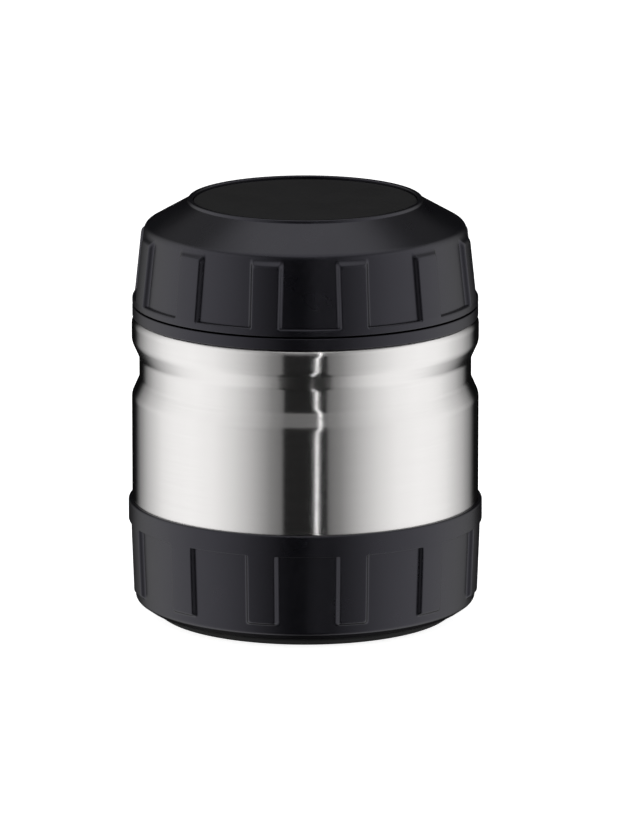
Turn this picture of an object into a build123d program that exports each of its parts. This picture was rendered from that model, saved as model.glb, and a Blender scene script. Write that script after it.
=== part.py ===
"""Insulated food jar: vacuum-walled steel jar, screw-in stopper and screw-on lid that serves as a bowl.

All sizes are in millimetres. The jar stands on z = 0 with its axis on Z. Names that end in _R are radii from
that axis, and names that end in _Z are heights above the ground.
"""

import os
from math import atan2, cos, radians, sin, tan

from build123d import *

os.makedirs("parts", exist_ok=True)

# ---------------------------------------------------------------------------------- driving dimensions

TOTAL_H = 124.0  # ground to the rim on top of the lid
STEEL_R = 50.9  # brushed steel body
MOUTH_R = 39.6  # bore of the steel mouth
RIM_Z = 101.0  # top of the steel mouth rim
PRESS_GAP = 0.05  # clearance of a piece that is pressed or screwed into another
FIT_GAP = 0.1  # clearance of a piece that seats in another
SLIP_GAP = 0.15  # clearance of a piece that slides over or into another

# Steel walls
SHELL_WALL = 0.6
VESSEL_WALL = 0.5
SHOULDER_Z = 89.8  # flat shoulder between the steel body and its neck
SHOULDER_ROUND = 3.0
NECK_R = 42.4  # outer neck
TUCK_R = 47.2  # steel body where it is drawn in to fit inside the base cup
TUCK_Z = 33.2  # top of that step
TUCK_LOW_Z = 29.9  # bottom of that step
SHELL_END_Z = 7.0  # bottom edge of the steel body
VESSEL_R = 44.0  # inside of the food vessel
VESSEL_FLOOR_Z = 14.0
VESSEL_SHOULDER_Z = 84.2

# Waist groove pressed into the steel body
WAIST_R = 48.7
WAIST_LOW_Z = 70.7
WAIST_HIGH_Z = 77.1
WAIST_FLANK = 4.9  # height of each sloping flank

# Neck collar
COLLAR_R = 50.7
COLLAR_LIP_Z = 89.2  # lip that hides the rounding of the steel shoulder
COLLAR_LIP_BORE_R = 49.9
COLLAR_TOP_Z = 92.6
THREAD_ROOT_R = 43.9  # upstanding ring that carries the lid's thread
THREAD_RING_TOP_Z = 99.9

# Lid
LID_BOTTOM_Z = 93.0
LID_BAND_R = 50.7  # smooth band along the lid's lower edge
LID_LEDGE_Z = 95.3  # where the band steps in to the recessed panels
LID_PANEL_LOW_R = 49.0
LID_EDGE_R = 47.1  # corner between the side of the lid and its cone
LID_EDGE_Z = 115.9
LID_RIM_R = 34.2
LID_RIM_WIDTH = 1.3
LID_RIM_H = 0.9  # rim above the top of the cone
LID_DISC_T = 1.0
LID_DISC_DROP = 0.9  # disc below the top of the rim
LID_SKIRT_BORE_R = 45.9
LID_WALL_BORE_R = 45.4
LID_ROOF_T = 1.8

# Lid liner, which leaves an air gap under the lid shell
LINER_R = 44.4
LINER_T = 1.0
LINER_RIM_Z = 101.2
LINER_RIM_T = 1.0
LINER_TOP_Z = 119.7
LINER_FLAT_R = 34.35
LINER_CONE_LOW_Z = 113.9
LINER_INNER_FLAT_R = 34.1
LINER_INNER_CONE_LOW_Z = 113.3

# Base cup
CUP_BAND_R = 52.0
CUP_TOP_Z = 34.6
CUP_LEDGE_Z = 28.2  # where the band steps in to the recessed panels
CUP_PANEL_TOP_R = 50.6
CUP_PANEL_LOW_R = 49.85
CUP_CORNER_Z = 4.8
CUP_UNDER_R = 47.1
CUP_UNDER_Z = 2.8
CUP_FLOOR_Z = 5.6
CUP_DISH_R = (30.6, 31.6)  # shallow dish in the middle of the underside
CUP_DISH_H = 0.6

# Foot ring
FOOT_R = 45.4
FOOT_BORE_R = 33.6
FOOT_SLOPE_R = 42.8  # where the foot's underside slopes up to its edge
FOOT_SLOPE_Z = 1.9
FOOT_GROOVE_R = (37.0, 41.0)
FOOT_GROOVE_DEPTH = 1.0

# Grip bars on the lid and on the base cup
BAR_COUNT = 12
BAR_FLANK_DEG = 30.0  # slope of a bar's sides from the radial direction
BAR_FOOT_W = 9.5  # width where a bar leaves the panel
BAR_ROOT = 1.0  # depth of a bar's blank below the panel
BAR_SPARE = 0.5  # height of a bar's blank above its crown, cut away
BAR_EDGE = 0.5
LID_BAR_TOP_Z = 114.5
LID_BAR_PHASE = 16.5  # turn of the pattern about Z
LID_BAR_PROUD = 1.7  # height of the crown above the panel
LID_BAR_CORNER = 1.0
CUP_BAR_END_Z = 7.2
CUP_BAR_PHASE = 15.65
CUP_BAR_PROUD = 1.4
CUP_BAR_CORNER = 1.3

# Stopper
PLUG_R = 38.4
PLUG_BOTTOM_Z = 92.0
PLUG_WALL = 2.0
PLUG_FLOOR = 1.6
PLUG_BEVEL = 1.2
GASKET_T = 0.8
FLANGE_R = 41.4
FLANGE_T = 1.4
COVER_PLATE_R = 38.4
COVER_PLATE_T = 1.2
GRIP_R = 34.5
GRIP_TOP_Z = 106.6
GRIP_SCALLOPS = 18
GRIP_SCALLOP_R = 2.4

# Pressure-release valve
STEM_R = 2.0
STEM_HEAD_Z = 89.6
STEM_HEAD_R = 3.4
BUTTON_R = 9.0
BUTTON_TOP_Z = 107.4
BUTTON_SKIRT_Z = 101.0
BUTTON_BORE_R = 9.3
GUIDE_TOP_Z = 97.0
SPRING_TOP_Z = 103.0
SPRING_R = 3.0
SPRING_WIRE_R = 0.3
SPRING_TURNS = 5

# ---------------------------------------------------------------------------------- derived heights

LID_ROOF_Z = TOTAL_H - LID_DISC_DROP - LID_DISC_T  # floor of the disc's recess
LID_CEILING_Z = LID_ROOF_Z - LID_ROOF_T
CONE_TOP_Z = TOTAL_H - LID_RIM_H
CONE_TOP_R = LID_RIM_R + 0.3
CONE_SLOPE = (CONE_TOP_Z - LID_EDGE_Z) / (LID_EDGE_R - CONE_TOP_R)
FLANGE_Z = RIM_Z + GASKET_T
FLANGE_TOP_Z = FLANGE_Z + FLANGE_T
PLATE_TOP_Z = FLANGE_TOP_Z + COVER_PLATE_T
PLUG_BORE_R = PLUG_R - PLUG_WALL


# ---------------------------------------------------------------------------------- jar: steel parts

with BuildPart() as outer_shell:
    with BuildSketch(Plane.XZ):
        with BuildLine():
            FilletPolyline(
                (TUCK_R, SHELL_END_Z),
                (TUCK_R, TUCK_LOW_Z),
                (STEEL_R, TUCK_Z),
                (STEEL_R, WAIST_LOW_Z - WAIST_FLANK),
                (WAIST_R, WAIST_LOW_Z),
                (WAIST_R, WAIST_HIGH_Z),
                (STEEL_R, WAIST_HIGH_Z + WAIST_FLANK),
                (STEEL_R, SHOULDER_Z),
                (NECK_R, SHOULDER_Z),
                (NECK_R, RIM_Z - VESSEL_WALL),
                radius=[1.5, 1.2, 4.0, 3.0, 3.0, 4.5, SHOULDER_ROUND, 1.5],
            )
            offset(amount=SHELL_WALL, side=Side.LEFT)
        make_face()
    revolve()

with BuildPart() as inner_vessel:
    with BuildSketch(Plane.XZ):
        with BuildLine():
            FilletPolyline(
                (0, VESSEL_FLOOR_Z),
                (VESSEL_R, VESSEL_FLOOR_Z),
                (VESSEL_R, VESSEL_SHOULDER_Z),
                (MOUTH_R, VESSEL_SHOULDER_Z + (VESSEL_R - MOUTH_R)),
                (MOUTH_R, RIM_Z),
                (NECK_R, RIM_Z),
                radius=[7.0, 3.0, 3.0, 0.6],
            )
            offset(amount=VESSEL_WALL, side=Side.RIGHT)
        make_face()
    revolve()

PLATE_R = TUCK_R - SHELL_WALL - PRESS_GAP
PLATE_Z = 9.2  # top of the plate
DIMPLE_R = 11.5
DIMPLE_FLAT_R = 9.0
DIMPLE_RISE = 1.4
PUMP_HOLE_R = 1.5
with BuildPart() as shell_base_plate:
    with BuildSketch(Plane.XZ):
        with BuildLine():
            FilletPolyline(
                (0, PLATE_Z + DIMPLE_RISE),
                (DIMPLE_FLAT_R, PLATE_Z + DIMPLE_RISE),
                (DIMPLE_R, PLATE_Z),
                (PLATE_R, PLATE_Z),
                (PLATE_R, SHELL_END_Z),
                radius=[1.0, 1.0, 1.5],
            )
            offset(amount=SHELL_WALL, side=Side.RIGHT)
        make_face()
    revolve()
    with BuildSketch(Plane.XY.offset(PLATE_Z)):
        Circle(PUMP_HOLE_R)
    extrude(amount=2 * DIMPLE_RISE, mode=Mode.SUBTRACT)

BEAD_SEAT_Z = PLATE_Z + DIMPLE_RISE - SHELL_WALL  # underside of the dimple
BEAD_R = 4.0
BEAD_DEPTH = 0.9
BEAD_EDGE_DEPTH = 0.6
BEAD_NECK_R = PUMP_HOLE_R - PRESS_GAP
with BuildPart() as vacuum_plug:
    with BuildSketch(Plane.XZ):
        with BuildLine():
            FilletPolyline(
                (0, BEAD_SEAT_Z - BEAD_DEPTH),
                (BEAD_R, BEAD_SEAT_Z - BEAD_EDGE_DEPTH),
                (BEAD_R, BEAD_SEAT_Z),
                (BEAD_NECK_R, BEAD_SEAT_Z),
                (BEAD_NECK_R, BEAD_SEAT_Z + SHELL_WALL),
                (0, BEAD_SEAT_Z + SHELL_WALL),
                radius=[0, 0.3, 0, 0, 0, 0],
                close=True,
            )
        make_face()
    revolve()

GETTER_Y = 24.0
GETTER_R = 5.0
GETTER_T = 1.8
with BuildPart() as getter_capsule:
    with BuildSketch(Plane.XY.offset(PLATE_Z)):
        with Locations((0, GETTER_Y)):
            Circle(GETTER_R)
    extrude(amount=GETTER_T)
    fillet(getter_capsule.faces().sort_by(Axis.Z)[-1].edges(), radius=0.5)

FOIL_R = VESSEL_R + VESSEL_WALL + SLIP_GAP
FOIL_T = 0.15
FOIL_LOW_Z = VESSEL_FLOOR_Z + 8.0
FOIL_HIGH_Z = VESSEL_SHOULDER_Z - 3.0
with BuildPart() as heat_foil:
    with BuildSketch(Plane.XY.offset(FOIL_LOW_Z)):
        Circle(FOIL_R + FOIL_T)
        Circle(FOIL_R, mode=Mode.SUBTRACT)
    extrude(amount=FOIL_HIGH_Z - FOIL_LOW_Z)

# ---------------------------------------------------------------------------------- jar: collar

SEAL_GROOVE_R = (45.0, 47.0)
SEAL_GROOVE_DEPTH = 1.2
COLLAR_BORE_R = NECK_R + SLIP_GAP
COLLAR_LEAD_IN = 1.65  # slope at the foot of the bore, over the steel's rounding into its neck
COLLAR_LIP_SLOPE = 1.0  # width of the slope inside the lip
with BuildPart() as neck_collar:
    with BuildSketch(Plane.XZ):
        with BuildLine():
            FilletPolyline(
                (COLLAR_R, COLLAR_LIP_Z),
                (COLLAR_R, COLLAR_TOP_Z),
                (THREAD_ROOT_R, COLLAR_TOP_Z),
                (THREAD_ROOT_R, THREAD_RING_TOP_Z),
                (COLLAR_BORE_R, THREAD_RING_TOP_Z),
                (COLLAR_BORE_R, SHOULDER_Z + COLLAR_LEAD_IN),
                (COLLAR_BORE_R + COLLAR_LEAD_IN, SHOULDER_Z),
                (SEAL_GROOVE_R[0], SHOULDER_Z),
                (SEAL_GROOVE_R[0], SHOULDER_Z + SEAL_GROOVE_DEPTH),
                (SEAL_GROOVE_R[1], SHOULDER_Z + SEAL_GROOVE_DEPTH),
                (SEAL_GROOVE_R[1], SHOULDER_Z),
                (COLLAR_LIP_BORE_R - COLLAR_LIP_SLOPE, SHOULDER_Z),
                (COLLAR_LIP_BORE_R, COLLAR_LIP_Z),
                radius=[0.3, 0.4, 0.6, 0.5, 0, 0, 0, 0, 0, 0, 0, 0, 0],
                close=True,
            )
        make_face()
    revolve()

with BuildPart() as collar_seal:
    with BuildSketch(Plane.XY.offset(SHOULDER_Z)):
        Circle(SEAL_GROOVE_R[1] - FIT_GAP)
        Circle(SEAL_GROOVE_R[0] + FIT_GAP, mode=Mode.SUBTRACT)
    extrude(amount=SEAL_GROOVE_DEPTH - PRESS_GAP)

# ---------------------------------------------------------------------------------- grip bars

CUP_DRAFT = atan2(CUP_PANEL_TOP_R - CUP_PANEL_LOW_R, CUP_LEDGE_Z - CUP_CORNER_Z)
LID_DRAFT = atan2(LID_PANEL_LOW_R - LID_EDGE_R, LID_EDGE_Z - LID_LEDGE_Z)
PANEL_SAG = 0.2  # a round panel lies this much lower at a bar's foot than in the bar's middle


def cup_panel_r(height):
    """Radius of the base cup's panels at a height."""
    return CUP_PANEL_LOW_R + (height - CUP_CORNER_Z) * tan(CUP_DRAFT)


def lid_panel_r(height):
    """Radius of the lid's panels at a height."""
    return LID_PANEL_LOW_R - (height - LID_LEDGE_Z) * tan(LID_DRAFT)


def bar_outline(panel_r, proud):
    """Outline of a bar on +X seen along the jar's axis: sides that slope from the root to above the crown."""
    flank = tan(radians(BAR_FLANK_DEG))
    root_r = panel_r - PANEL_SAG - BAR_ROOT
    root_half_w = BAR_FOOT_W / 2 + BAR_ROOT * flank
    depth = BAR_ROOT + proud + BAR_SPARE
    Polyline(
        (root_r, -root_half_w),
        (root_r, root_half_w),
        (root_r + depth, root_half_w - depth * flank),
        (root_r + depth, depth * flank - root_half_w),
        close=True,
    )


# One bar of the base cup, on +X, from inside the band down to its sloping lower end.
CUP_BAR_ROOT_Z = CUP_LEDGE_Z + BAR_ROOT
CUP_BAR_TIP_Z = CUP_BAR_END_Z + CUP_BAR_PROUD  # lower end of the crown
with BuildPart() as cup_bar:
    with BuildSketch(Plane.XY):
        with BuildLine():
            bar_outline(cup_panel_r(0), CUP_BAR_PROUD)
        make_face()
    extrude(amount=CUP_BAR_ROOT_Z, dir=(sin(CUP_DRAFT), 0, cos(CUP_DRAFT)))
    with BuildSketch(Plane.XZ):
        with BuildLine():
            Polyline(
                (cup_panel_r(CUP_BAR_ROOT_Z) - BAR_ROOT, CUP_BAR_ROOT_Z),
                (cup_panel_r(CUP_BAR_ROOT_Z) + CUP_BAR_PROUD, CUP_BAR_ROOT_Z),
                (cup_panel_r(CUP_BAR_TIP_Z) + CUP_BAR_PROUD, CUP_BAR_TIP_Z),
                (cup_panel_r(CUP_BAR_END_Z) - BAR_ROOT, CUP_BAR_END_Z - BAR_ROOT),
                close=True,
            )
        make_face()
    revolve(mode=Mode.INTERSECT)
    lower_end = cup_bar.faces().filter_by(GeomType.CONE).sort_by(Axis.Z)[0]
    end_corners = lower_end.edges().filter_by(GeomType.CIRCLE, reverse=True).sort_by(SortBy.LENGTH)[-2:]
    fillet(end_corners, radius=CUP_BAR_CORNER)
    crown = cup_bar.faces().filter_by(GeomType.CONE).sort_by(Axis.X)[-1]
    fillet(crown.edges().sort_by(Axis.Z)[:-1], radius=BAR_EDGE)

# One bar of the lid, on +X, from inside the band up to its sloping upper end.
LID_BAR_ROOT_Z = LID_LEDGE_Z - BAR_ROOT
LID_BAR_TIP_Z = LID_BAR_TOP_Z - LID_BAR_PROUD  # upper end of the crown
with BuildPart() as lid_bar:
    with BuildSketch(Plane.XY.offset(LID_BAR_ROOT_Z)):
        with BuildLine():
            bar_outline(lid_panel_r(LID_BAR_ROOT_Z), LID_BAR_PROUD)
        make_face()
    extrude(amount=LID_EDGE_Z - LID_BAR_ROOT_Z, dir=(-sin(LID_DRAFT), 0, cos(LID_DRAFT)))
    with BuildSketch(Plane.XZ):
        with BuildLine():
            Polyline(
                (lid_panel_r(LID_BAR_ROOT_Z) - BAR_ROOT, LID_BAR_ROOT_Z),
                (lid_panel_r(LID_BAR_ROOT_Z) + LID_BAR_PROUD, LID_BAR_ROOT_Z),
                (lid_panel_r(LID_BAR_TIP_Z) + LID_BAR_PROUD, LID_BAR_TIP_Z),
                (lid_panel_r(LID_BAR_TOP_Z) - BAR_ROOT, LID_BAR_TOP_Z + BAR_ROOT),
                close=True,
            )
        make_face()
    revolve(mode=Mode.INTERSECT)
    upper_end = lid_bar.faces().filter_by(GeomType.CONE).sort_by(Axis.Z)[-1]
    end_corners = upper_end.edges().filter_by(GeomType.CIRCLE, reverse=True).sort_by(SortBy.LENGTH)[-2:]
    fillet(end_corners, radius=LID_BAR_CORNER)
    crown = lid_bar.faces().filter_by(GeomType.CONE).sort_by(Axis.X)[-1]
    fillet(crown.edges().sort_by(Axis.Z)[1:], radius=BAR_EDGE)

# ---------------------------------------------------------------------------------- jar: base

with BuildPart() as base_cup:
    with BuildSketch(Plane.XZ):
        with BuildLine():
            FilletPolyline(
                (0, CUP_UNDER_Z + CUP_DISH_H),
                (CUP_DISH_R[0], CUP_UNDER_Z + CUP_DISH_H),
                (CUP_DISH_R[1], CUP_UNDER_Z),
                (FOOT_GROOVE_R[0], CUP_UNDER_Z),
                (FOOT_GROOVE_R[0], CUP_UNDER_Z + FOOT_GROOVE_DEPTH),
                (FOOT_GROOVE_R[1], CUP_UNDER_Z + FOOT_GROOVE_DEPTH),
                (FOOT_GROOVE_R[1], CUP_UNDER_Z),
                (CUP_UNDER_R, CUP_UNDER_Z),
                (CUP_PANEL_LOW_R, CUP_CORNER_Z),
                (CUP_PANEL_TOP_R, CUP_LEDGE_Z),
                (CUP_BAND_R, CUP_LEDGE_Z),
                (CUP_BAND_R, CUP_TOP_Z),
                (STEEL_R + FIT_GAP, CUP_TOP_Z),
                (STEEL_R + FIT_GAP, TUCK_Z + FIT_GAP),
                (TUCK_R + SLIP_GAP, TUCK_LOW_Z),
                (TUCK_R + SLIP_GAP, CUP_FLOOR_Z),
                (0, CUP_FLOOR_Z),
                radius=[0, 0.4, 0.4, 0, 0, 0, 0, 0.4, 1.5, 0.3, 0.3, 0.7, 0, 0.5, 0.5, 1.0, 0],
                close=True,
            )
        make_face()
    revolve()
    with PolarLocations(0, BAR_COUNT, start_angle=CUP_BAR_PHASE):
        add(cup_bar.part)

CUSHION_BORE_R = 40.0
CUSHION_CHAMFER = 1.0
with BuildPart() as base_cushion:
    with BuildSketch(Plane.XY.offset(CUP_FLOOR_Z)):
        Circle(TUCK_R - FIT_GAP)
        Circle(CUSHION_BORE_R, mode=Mode.SUBTRACT)
    extrude(amount=SHELL_END_Z - CUP_FLOOR_Z)
    chamfer(base_cushion.faces().sort_by(Axis.Z)[0].outer_wire().edges(), length=CUSHION_CHAMFER)

with BuildPart() as foot_ring:
    with BuildSketch(Plane.XZ):
        with BuildLine():
            FilletPolyline(
                (FOOT_BORE_R, 0),
                (FOOT_SLOPE_R, 0),
                (FOOT_R, FOOT_SLOPE_Z),
                (FOOT_R, CUP_UNDER_Z),
                (FOOT_GROOVE_R[1] - FIT_GAP, CUP_UNDER_Z),
                (FOOT_GROOVE_R[1] - FIT_GAP, CUP_UNDER_Z + FOOT_GROOVE_DEPTH - FIT_GAP),
                (FOOT_GROOVE_R[0] + FIT_GAP, CUP_UNDER_Z + FOOT_GROOVE_DEPTH - FIT_GAP),
                (FOOT_GROOVE_R[0] + FIT_GAP, CUP_UNDER_Z),
                (FOOT_BORE_R, CUP_UNDER_Z),
                radius=[0.8, 1.5, 1.0, 0, 0, 0, 0, 0, 0],
                close=True,
            )
        make_face()
    revolve()

# ---------------------------------------------------------------------------------- lid

CEILING_CONE_Z = 114.5  # where the lid's inner cone meets its inner wall
with BuildPart() as lid_shell:
    with BuildSketch(Plane.XZ):
        with BuildLine():
            FilletPolyline(
                (0, LID_CEILING_Z),
                (0, LID_ROOF_Z),
                (LID_RIM_R - LID_RIM_WIDTH, LID_ROOF_Z),
                (LID_RIM_R - LID_RIM_WIDTH, TOTAL_H),
                (LID_RIM_R, TOTAL_H),
                (CONE_TOP_R, CONE_TOP_Z),
                (LID_EDGE_R, LID_EDGE_Z),
                (LID_PANEL_LOW_R, LID_LEDGE_Z),
                (LID_BAND_R, LID_LEDGE_Z),
                (LID_BAND_R, LID_BOTTOM_Z),
                (LID_SKIRT_BORE_R, LID_BOTTOM_Z),
                (LID_SKIRT_BORE_R, LINER_RIM_Z + LINER_RIM_T),
                (LID_WALL_BORE_R, LINER_RIM_Z + LINER_RIM_T),
                (LID_WALL_BORE_R, CEILING_CONE_Z),
                (LID_WALL_BORE_R - (LID_CEILING_Z - CEILING_CONE_Z) / CONE_SLOPE, LID_CEILING_Z),
                radius=[0, 0, 0, 0.4, 0.4, 0.3, 2.5, 0.3, 0.7, 0.4, 0.6, 0, 0, 2.0, 2.0],
                close=True,
            )
        make_face()
    revolve()
    with PolarLocations(0, BAR_COUNT, start_angle=LID_BAR_PHASE):
        add(lid_bar.part)

with BuildPart() as lid_top_disc:
    with BuildSketch(Plane.XY.offset(LID_ROOF_Z)):
        Circle(LID_RIM_R - LID_RIM_WIDTH - SLIP_GAP)
    extrude(amount=LID_DISC_T)
    fillet(lid_top_disc.faces().sort_by(Axis.Z)[-1].edges(), radius=0.3)

with BuildPart() as lid_liner:
    with BuildSketch(Plane.XZ):
        with BuildLine():
            FilletPolyline(
                (0, LINER_TOP_Z - LINER_T),
                (0, LINER_TOP_Z),
                (LINER_FLAT_R, LINER_TOP_Z),
                (LINER_R, LINER_CONE_LOW_Z),
                (LINER_R, LINER_RIM_Z + LINER_RIM_T),
                (LID_SKIRT_BORE_R - FIT_GAP, LINER_RIM_Z + LINER_RIM_T),
                (LID_SKIRT_BORE_R - FIT_GAP, LINER_RIM_Z),
                (LINER_R - LINER_T, LINER_RIM_Z),
                (LINER_R - LINER_T, LINER_INNER_CONE_LOW_Z),
                (LINER_INNER_FLAT_R, LINER_TOP_Z - LINER_T),
                radius=[0, 0, 3.0, 3.0, 0, 0, 0, 0, 2.0, 2.0],
                close=True,
            )
        make_face()
    revolve()

SEAL_FOOT_R = (42.7, 45.1)
SEAL_CROWN_R = 43.5
with BuildPart() as lid_seal:
    with BuildSketch(Plane.XZ):
        with BuildLine():
            FilletPolyline(
                (SEAL_FOOT_R[0], THREAD_RING_TOP_Z + FIT_GAP),
                (SEAL_FOOT_R[1], THREAD_RING_TOP_Z + FIT_GAP),
                (SEAL_FOOT_R[1], LINER_RIM_Z),
                (SEAL_CROWN_R, LINER_RIM_Z),
                radius=[0.3, 0.3, 0, 0],
                close=True,
            )
        make_face()
    revolve()

# ---------------------------------------------------------------------------------- stopper

GUIDE_BORE_R = STEM_R + 0.3
GUIDE_R = 4.2
with BuildPart() as stopper_body:
    with BuildSketch(Plane.XZ):
        with BuildLine():
            FilletPolyline(
                (GUIDE_BORE_R, PLUG_BOTTOM_Z),
                (PLUG_R - PLUG_BEVEL, PLUG_BOTTOM_Z),
                (PLUG_R, PLUG_BOTTOM_Z + PLUG_BEVEL),
                (PLUG_R, FLANGE_Z),
                (FLANGE_R, FLANGE_Z),
                (FLANGE_R, FLANGE_TOP_Z),
                (PLUG_BORE_R, FLANGE_TOP_Z),
                (PLUG_BORE_R, PLUG_BOTTOM_Z + PLUG_FLOOR),
                (GUIDE_R, PLUG_BOTTOM_Z + PLUG_FLOOR),
                (GUIDE_R, GUIDE_TOP_Z),
                (GUIDE_BORE_R, GUIDE_TOP_Z),
                radius=[0, 0.6, 0.6, 0, 0.3, 0.8, 0, 0.8, 0.4, 0.3, 0],
                close=True,
            )
        make_face()
    revolve()

FOAM_LOW_Z = PLUG_BOTTOM_Z + PLUG_FLOOR
FOAM_TOP_Z = FLANGE_TOP_Z - 1.8
FOAM_R = PLUG_BORE_R - 0.2
FOAM_BEVEL = 0.7
FOAM_BORE_R = GUIDE_R + 0.4
BUTTON_WELL_R = BUTTON_BORE_R + 1.5
BUTTON_WELL_Z = 99.0
FOAM_WELL_R = BUTTON_WELL_R + 0.6
FOAM_WELL_Z = BUTTON_WELL_Z - 0.6
with BuildPart() as stopper_foam:
    with BuildSketch(Plane.XZ):
        with BuildLine():
            Polyline(
                (FOAM_BORE_R, FOAM_LOW_Z),
                (FOAM_R - FOAM_BEVEL, FOAM_LOW_Z),
                (FOAM_R, FOAM_LOW_Z + FOAM_BEVEL),
                (FOAM_R, FOAM_TOP_Z),
                (FOAM_WELL_R, FOAM_TOP_Z),
                (FOAM_WELL_R, FOAM_WELL_Z),
                (FOAM_BORE_R, FOAM_WELL_Z),
                close=True,
            )
        make_face()
    revolve()

SKIRT_R = (PLUG_BORE_R - 1.6, PLUG_BORE_R - 0.2)  # ring that centres the cap in the plug
SKIRT_Z = FOAM_TOP_Z + 0.2
GRIP_BORE_R = 30.0
BOSS_R = 13.0
BOSS_TOP_Z = 106.2
BOSS_FOOT_R = 14.0
GRIP_FOOT_R = 28.8
SCALLOP_CIRCLE_R = 35.5
with BuildPart() as stopper_cover:
    with BuildSketch(Plane.XZ):
        with BuildLine():
            FilletPolyline(
                (BUTTON_BORE_R, BUTTON_WELL_Z),
                (BUTTON_WELL_R, BUTTON_WELL_Z),
                (BUTTON_WELL_R, FLANGE_TOP_Z),
                (SKIRT_R[0], FLANGE_TOP_Z),
                (SKIRT_R[0], SKIRT_Z),
                (SKIRT_R[1], SKIRT_Z),
                (SKIRT_R[1], FLANGE_TOP_Z),
                (COVER_PLATE_R, FLANGE_TOP_Z),
                (COVER_PLATE_R, PLATE_TOP_Z),
                (GRIP_R, PLATE_TOP_Z),
                (GRIP_R, GRIP_TOP_Z),
                (GRIP_BORE_R, GRIP_TOP_Z),
                (GRIP_FOOT_R, PLATE_TOP_Z),
                (BOSS_FOOT_R, PLATE_TOP_Z),
                (BOSS_R, BOSS_TOP_Z),
                (BUTTON_BORE_R, BOSS_TOP_Z),
                radius=[0, 0, 0.5, 0, 0, 0, 0, 0, 0.4, 0.4, 0.8, 0.6, 0.8, 0.8, 0.6, 0.3],
                close=True,
            )
        make_face()
    revolve()
    with BuildSketch(Plane.XY.offset(PLATE_TOP_Z)):
        with PolarLocations(SCALLOP_CIRCLE_R, GRIP_SCALLOPS):
            Circle(GRIP_SCALLOP_R)
    extrude(amount=GRIP_TOP_Z - PLATE_TOP_Z, mode=Mode.SUBTRACT)

GASKET_R = (38.6, 41.2)
with BuildPart() as stopper_gasket:
    with BuildSketch(Plane.XY.offset(RIM_Z)):
        Circle(GASKET_R[1])
        Circle(GASKET_R[0], mode=Mode.SUBTRACT)
    extrude(amount=GASKET_T)

# ---------------------------------------------------------------------------------- valve

BUTTON_BOSS_R = 3.4
BUTTON_DROP = 0.2  # fall of the button's top towards its edge
BUTTON_WALL = 1.2
BUTTON_CEILING_Z = BUTTON_TOP_Z - 1.6
STEM_SOCKET_R = STEM_R + PRESS_GAP
STEM_TOP_Z = 105.0
with BuildPart() as valve_button:
    with BuildSketch(Plane.XZ):
        with BuildLine():
            FilletPolyline(
                (0, BUTTON_TOP_Z),
                (BUTTON_R, BUTTON_TOP_Z - BUTTON_DROP),
                (BUTTON_R, BUTTON_SKIRT_Z),
                (BUTTON_R - BUTTON_WALL, BUTTON_SKIRT_Z),
                (BUTTON_R - BUTTON_WALL, BUTTON_CEILING_Z),
                (BUTTON_BOSS_R, BUTTON_CEILING_Z),
                (BUTTON_BOSS_R, SPRING_TOP_Z),
                (STEM_SOCKET_R, SPRING_TOP_Z),
                (STEM_SOCKET_R, STEM_TOP_Z),
                (0, STEM_TOP_Z),
                radius=[0, 0.8, 0.2, 0.2, 0.4, 0.4, 0, 0, 0, 0],
                close=True,
            )
        make_face()
    revolve()

SEAL_T = 1.6
with BuildPart() as valve_stem:
    with BuildSketch(Plane.XZ):
        with BuildLine():
            FilletPolyline(
                (0, STEM_HEAD_Z),
                (STEM_HEAD_R, STEM_HEAD_Z),
                (STEM_HEAD_R, PLUG_BOTTOM_Z - SEAL_T),
                (STEM_R, PLUG_BOTTOM_Z - SEAL_T),
                (STEM_R, STEM_TOP_Z),
                (0, STEM_TOP_Z),
                radius=[0, 0.4, 0, 0, 0.3, 0],
                close=True,
            )
        make_face()
    revolve()

VALVE_SEAL_R = 6.2
VALVE_SEAL_BEVEL = 0.5
with BuildPart() as valve_seal:
    with BuildSketch(Plane.XY.offset(PLUG_BOTTOM_Z - SEAL_T)):
        Circle(VALVE_SEAL_R)
        Circle(STEM_SOCKET_R, mode=Mode.SUBTRACT)
    extrude(amount=SEAL_T)
    chamfer(valve_seal.faces().sort_by(Axis.Z)[0].outer_wire().edges(), length=VALVE_SEAL_BEVEL)

SPRING_LOW_Z = GUIDE_TOP_Z + PRESS_GAP
SPRING_RISE = SPRING_TOP_Z - PRESS_GAP - SPRING_LOW_Z - 2 * SPRING_WIRE_R
with BuildPart() as valve_spring:
    with BuildLine() as coil:
        Helix(
            pitch=SPRING_RISE / SPRING_TURNS,
            height=SPRING_RISE,
            radius=SPRING_R,
            center=(0, 0, SPRING_LOW_Z + SPRING_WIRE_R),
        )
    with BuildSketch(Plane(origin=coil.line @ 0, z_dir=coil.line % 0)):
        Circle(SPRING_WIRE_R)
    sweep(path=coil.line, is_frenet=True)

# ---------------------------------------------------------------------------------- labels and files

outer_shell.part.label = "outer_shell"
inner_vessel.part.label = "inner_vessel"
shell_base_plate.part.label = "shell_base_plate"
vacuum_plug.part.label = "vacuum_plug"
getter_capsule.part.label = "getter_capsule"
heat_foil.part.label = "heat_foil"
neck_collar.part.label = "neck_collar"
collar_seal.part.label = "collar_seal"
base_cup.part.label = "base_cup"
base_cushion.part.label = "base_cushion"
foot_ring.part.label = "foot_ring"
lid_shell.part.label = "lid_shell"
lid_top_disc.part.label = "lid_top_disc"
lid_liner.part.label = "lid_liner"
lid_seal.part.label = "lid_seal"
stopper_body.part.label = "stopper_body"
stopper_foam.part.label = "stopper_foam"
stopper_cover.part.label = "stopper_cover"
stopper_gasket.part.label = "stopper_gasket"
valve_button.part.label = "valve_button"
valve_stem.part.label = "valve_stem"
valve_seal.part.label = "valve_seal"
valve_spring.part.label = "valve_spring"

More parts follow.
